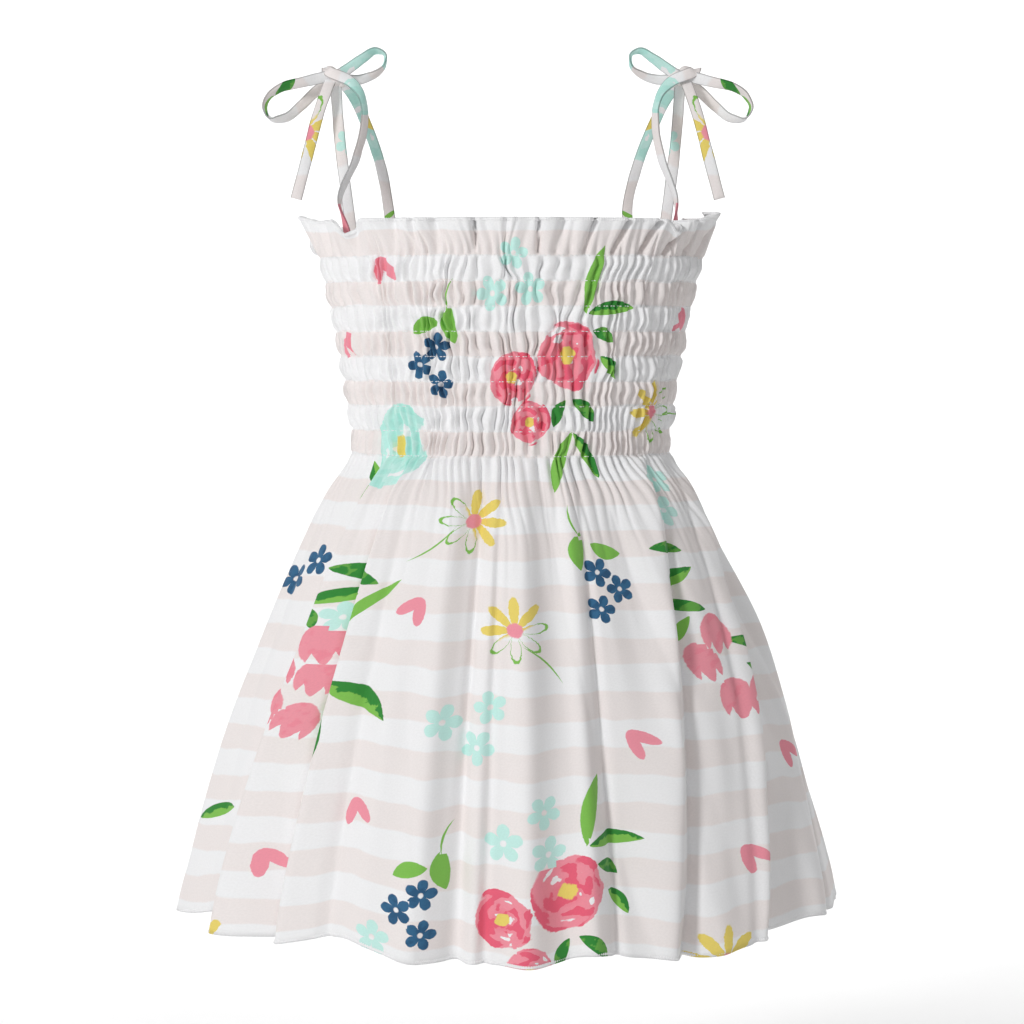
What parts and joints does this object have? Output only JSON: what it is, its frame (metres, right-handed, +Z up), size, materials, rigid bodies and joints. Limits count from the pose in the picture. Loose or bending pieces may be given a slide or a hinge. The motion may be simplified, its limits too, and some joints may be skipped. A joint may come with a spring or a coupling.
{
  "type": "toddler sundress",
  "caption": "Sleeveless shirred toddler sundress with a frilled heading, a flared skirt and self-fabric ties knotted in bows on the shoulders.",
  "frame": {"origin": "midway between the two shoulder points that the ties bear on", "axes": "+Z up along the body, the front of the dress faces -Y, +X is at the viewer's right from the front"},
  "size_m": [0.3729, 0.3016, 0.4803],
  "materials": {
    "cotton": "printed cotton poplin, white with pale pink stripes and scattered flowers",
    "tie": "narrow turned tube of the same printed cotton"
  },
  "bodies": {
    "root": {"front_panel": "cotton", "back_panel": "cotton", "tie_front_left": "tie", "tie_front_right": "tie", "tie_back_left": "tie", "tie_back_right": "tie", "knot_left": "tie", "knot_right": "tie", "bow_loop_outer_left": "tie", "bow_loop_outer_right": "tie", "bow_loop_inner_left": "tie", "bow_loop_inner_right": "tie", "tail_outer_left": "tie", "tail_outer_right": "tie", "tail_inner_left": "tie", "tail_inner_right": "tie"}
  },
  "joints": []
}
